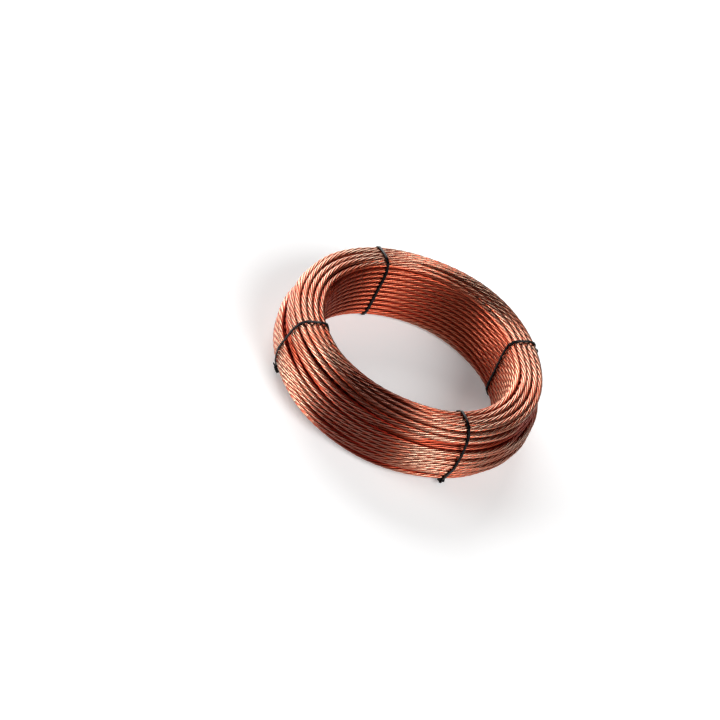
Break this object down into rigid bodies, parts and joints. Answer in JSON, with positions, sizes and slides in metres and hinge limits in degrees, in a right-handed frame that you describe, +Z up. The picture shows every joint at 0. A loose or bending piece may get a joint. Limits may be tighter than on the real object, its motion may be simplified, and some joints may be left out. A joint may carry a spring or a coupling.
{
  "type": "coil of bare copper earth wire",
  "caption": "Flat-lying coil of bare stranded copper earth wire, wound in layers round an open bore and held by black cable ties.",
  "frame": {"origin": "on the coil's axis, at the height of the flats under the four tie straps, which the coil rests on", "axes": "+Z up along the coil's axis; the tie named tie_right stands 35 degrees from +X towards +Y, and the front of the coil faces -Y"},
  "size_m": [0.242, 0.242, 0.0667],
  "materials": {
    "bare_copper": null,
    "black_nylon": "moulded black nylon with a soft gloss"
  },
  "bodies": {
    "root": {"wire_coil": "bare_copper", "tie_right": "black_nylon", "tie_back": "black_nylon", "tie_left": "black_nylon", "tie_front": "black_nylon"}
  },
  "joints": []
}
